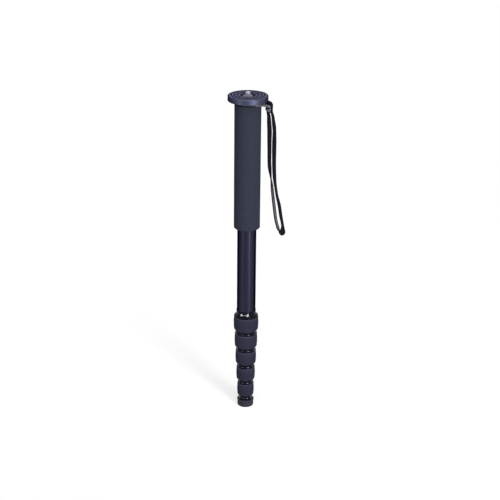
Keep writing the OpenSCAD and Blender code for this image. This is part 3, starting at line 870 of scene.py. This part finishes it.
# %% The weave
RIBS_PER_METRE = 700
RIB_SLANT = 0.9
INNER_FACE = (-0.2, -0.6)  # through the cord, from -1 to 1
GREY_MIDDLE = (0.74, 0.58)  # across the cord, from the middle


def weave_finish():
    f = Finish("strap_weave", roughness=0.85, specular_ior_level=0.08, sheen_weight=0.04)
    along, across, through = (f.attribute(n) for n in ("along", "across", "through"))
    from_middle = f.math("ABSOLUTE", across)
    slant = f.math("MULTIPLY", from_middle, RIB_SLANT)
    turns = f.math("ADD", f.math("MULTIPLY", along, RIBS_PER_METRE), slant)
    rib = f.ramp(f.math("SINE", f.math("MULTIPLY", turns, math.tau)), -1, 1)
    fibre = f.noise(2600, detail=3)
    middle = f.math("MULTIPLY", f.ramp(through, *INNER_FACE), f.ramp(from_middle, *GREY_MIDDLE))
    black = f.mix(rib, paint(10, 10, 19), paint(26, 25, 42))
    fluffy_rib = f.math("MULTIPLY", rib, f.ramp(fibre, 0.3, 0.7, 0.5, 1))
    grey = f.mix(fluffy_rib, paint(72, 73, 80), paint(142, 143, 150))
    color = f.mix(middle, black, grey)
    return f.feed(color, bump=f.math("ADD", rib, fibre), strength=0.5, depth=0.18)


materials["strap_weave"] = weave_finish()

# %% [markdown]
# ### Every piece gets its finish
# The CAD record names a material slot for each node, so most nodes take the finish of that name. They
# could be listed one by one, but a node that is added later would then be forgotten. Each lock sleeve
# gets a rubber of its own, because its painted highlight and painted shade are placed from its own
# top edge.

# %% Give every piece its finish
slot_of = {part["node"]: part["material_slot"] for part in frame["record"]["subparts"]}
for name, node in frame["nodes"].items():
    node.data.materials.clear()
    if name.startswith("lock_sleeve"):
        sleeve_rubber = rubber_finish(name)
        node.data.materials.append(sleeve_rubber)
        rib_pieces[int(name[-1])].data.materials.append(sleeve_rubber)
    elif name == "lock_ferrule_1":
        node.data.materials.append(materials["collar_plastic"])
    else:
        node.data.materials.append(materials[slot_of[name]])
for piece, slot in ((wrist_strap, "strap_weave"), (grip, "grip_foam"), (screw, "screw_steel")):
    piece.data.materials.append(materials[slot])
flange.data.materials.append(shaded_flange_steel)
print("shared finishes:", sorted(materials))

# %% [markdown]
# ## The floor
# The picture has a plain white ground. Strong lamps could make a floor white, but they would bleach
# the object too. So the floor gives part of its white to the camera directly, as a glow, and the rest
# from the light that falls on it. That light fades with the distance from the lamps, and is half as
# much behind them, so the glow grows as it fades: the sum stays white, and the shadow still shows. Far
# to the left the floor shows dark to reflections, as the dark side of a studio does, and the rim of
# the platform mirrors that.

# %% Floor
FLOOR_HALF = 8.0
FLOOR_GREY = (0.8, 0.8, 0.8, 1)
WHITE = (1, 1, 1, 1)
LIT_MOST = (0, -1.0, 0)
LIT_AT_ONE_METRE = 0.355
LIT_FADE = -0.85
BEHIND_LAMPS = (-1.3, -2.0)
BEHIND_SHARE = 0.5
WHITE_SUM = 1.01
LEAST_GLOW = 0.5
DARK_SIDE = (-0.4, -0.9)
DARK_SHARE = 0.1

floor_bm = bmesh.new()
bmesh.ops.create_grid(floor_bm, x_segments=1, y_segments=1, size=FLOOR_HALF)
floor = make_piece(floor_bm, "floor")
floor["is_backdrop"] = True


def larger(tree, a, b):
    return add_node(tree, "ShaderNodeMath", {0: a, 1: b}, operation="MAXIMUM").outputs["Value"]


def seen_directly(tree):
    """1 for rays from the camera, and for what shows in gloss and glass; 0 for light on the object."""
    ray = add_node(tree, "ShaderNodeLightPath").outputs
    seen = larger(tree, ray["Is Camera Ray"], ray["Is Glossy Ray"])
    return larger(tree, seen, ray["Is Transmission Ray"])


def floor_finish():
    f = Finish("floor_paint", base_color=FLOOR_GREY, roughness=1.0, specular_ior_level=0.0)
    f.shader.inputs["Emission Color"].default_value = WHITE
    inputs = {0: f.place, 1: LIT_MOST}
    reach = add_node(f.tree, "ShaderNodeVectorMath", inputs, operation="DISTANCE").outputs["Value"]
    lit = f.math("MULTIPLY", f.math("POWER", reach, LIT_FADE), LIT_AT_ONE_METRE)
    lit = f.math("MULTIPLY", lit, f.ramp(f.place_along("Y"), *BEHIND_LAMPS, 1.0, BEHIND_SHARE))
    glow = f.math("MAXIMUM", f.math("SUBTRACT", WHITE_SUM, lit), LEAST_GLOW)
    glow = f.math("MULTIPLY", seen_directly(f.tree), glow)
    mirrored = f.ramp(f.place_along("X"), *DARK_SIDE, 1.0, DARK_SHARE)
    camera_ray = add_node(f.tree, "ShaderNodeLightPath").outputs["Is Camera Ray"]
    glow = f.math("MULTIPLY", glow, larger(f.tree, mirrored, camera_ray))
    f.tree.links.new(glow, f.shader.inputs["Emission Strength"])
    return f.material


floor.data.materials.append(floor_finish())

# %% [markdown]
# ## World and lamps
# The world is white to the camera and to reflections, and dimmer as a light. One large lamp would
# light the object, but leave the tubes flat. So a soft box on the right and one on the left draw
# highlights down the tubes, one above lights the platform, and one behind lights the far side. The one
# behind would wash out the floor and glare on the pad and the screw, so light linking lets it reach
# only a collection of the other pieces.

# %% World
AMBIENT = 0.12

world = bpy.data.worlds.new("white_room")
scene.world = world
world.use_nodes = True
background = world.node_tree.nodes["Background"]
background.inputs["Color"].default_value = WHITE
inputs = {"Value": seen_directly(world.node_tree), "To Min": AMBIENT, "To Max": 1.0}
strength = add_node(world.node_tree, "ShaderNodeMapRange", inputs).outputs["Result"]
world.node_tree.links.new(strength, background.inputs["Strength"])
scene.view_settings.view_transform = "Standard"
print("world", world.name, "gives", AMBIENT, "as a light")

# %% Soft boxes
SOFT_BOXES = [
    # name, angle from the front, distance, height, width, tall, power
    ("right_box", 33, 1.7, 0.47, 0.4, 0.64, 18.5),
    ("left_box", -46, 1.7, 0.36, 0.2, 0.64, 5.5),
    ("top_box", 10, 0.9, 1.9, 0.9, 0.9, 9),
    ("back_box", 180, 1.7, 0.47, 0.4, 0.64, 24),
]
AIM = Vector((0, 0, 0.25))

back_lit = bpy.data.collections.new("back_lit")
not_back_lit = (floor, frame["nodes"]["platform_pad"], screw, flange)
for piece in scene.objects:
    if piece.type == "MESH" and piece not in not_back_lit:
        back_lit.objects.link(piece)

for name, angle, distance, height, width, tall, power in SOFT_BOXES:
    light = bpy.data.lights.new(name, "AREA")
    light.shape = "RECTANGLE"
    light.size, light.size_y = width, tall
    light.energy = power
    box = bpy.data.objects.new(name, light)
    a = math.radians(angle)
    box.location = (distance * math.sin(a), -distance * math.cos(a), height)
    box.rotation_euler = (AIM - box.location).to_track_quat("-Z", "Y").to_euler()
    scene.collection.objects.link(box)
    if name == "back_box":
        box.light_linking.receiver_collection = back_lit
    print(name, "at", [round(c, 2) for c in box.location])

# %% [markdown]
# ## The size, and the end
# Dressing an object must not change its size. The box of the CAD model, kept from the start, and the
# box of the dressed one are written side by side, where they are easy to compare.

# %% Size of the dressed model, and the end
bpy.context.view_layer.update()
for title, corners in (("CAD", cad_box), ("dressed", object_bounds())):
    print(title, "size in mm:", [round((high - low) / MM, 1) for low, high in zip(*corners)])
